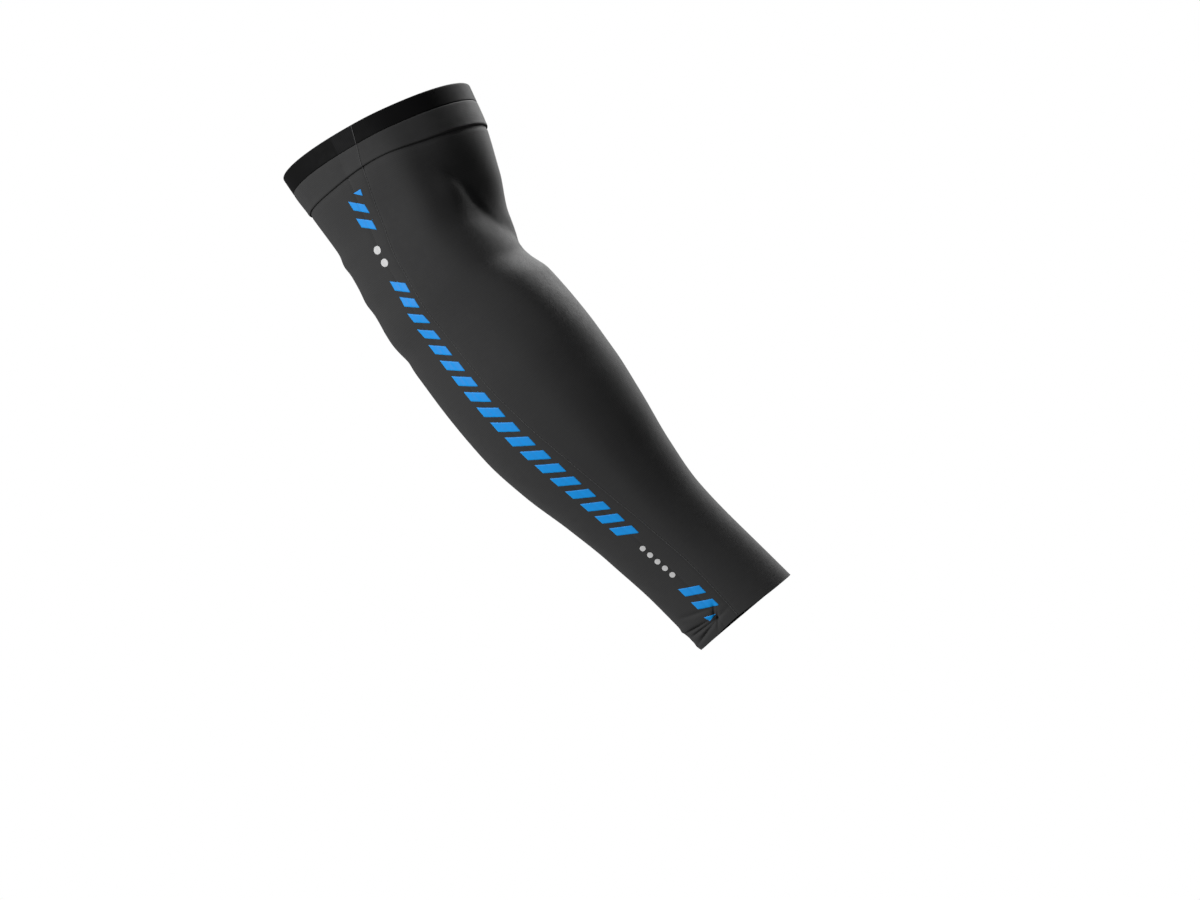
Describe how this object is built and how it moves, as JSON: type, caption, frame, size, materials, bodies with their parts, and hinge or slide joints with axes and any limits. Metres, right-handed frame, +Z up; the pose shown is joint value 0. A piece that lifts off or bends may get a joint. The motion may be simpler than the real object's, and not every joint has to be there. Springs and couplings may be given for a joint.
{
  "type": "arm sleeve",
  "caption": "Knitted stretch arm sleeve with an elastic gripper band, a doubled cuff and a narrow striped side strip, open at both ends, in its worn, slightly bent form.",
  "frame": {"origin": "centre of the top opening, where the sleeve grips the upper arm, in the plane of its top edge", "axes": "+Z up along the upper arm, out of the top opening; +X to the front of the arm, where the crook of the elbow is; -Y to the outer side, which carries the side panel"},
  "size_m": [0.1526, 0.1006, 0.3428],
  "materials": {
    "gripper": "near-black smooth elastic, faint sheen",
    "cuff": "dark grey doubled knit, matt",
    "cloth": "dark grey stretch knit, matt with a soft sheen at grazing angles",
    "strip": "dark grey stretch knit, a shade lighter than the main panel",
    "thread": "polyester seam thread, dark grey",
    "print_blue": "flat transfer film, light blue",
    "print_white": "flat reflective transfer film, white"
  },
  "bodies": {
    "root": {"gripper_band": "gripper", "cuff_band": "cuff", "main_panel": "cloth", "side_panel": "strip"}
  },
  "joints": []
}
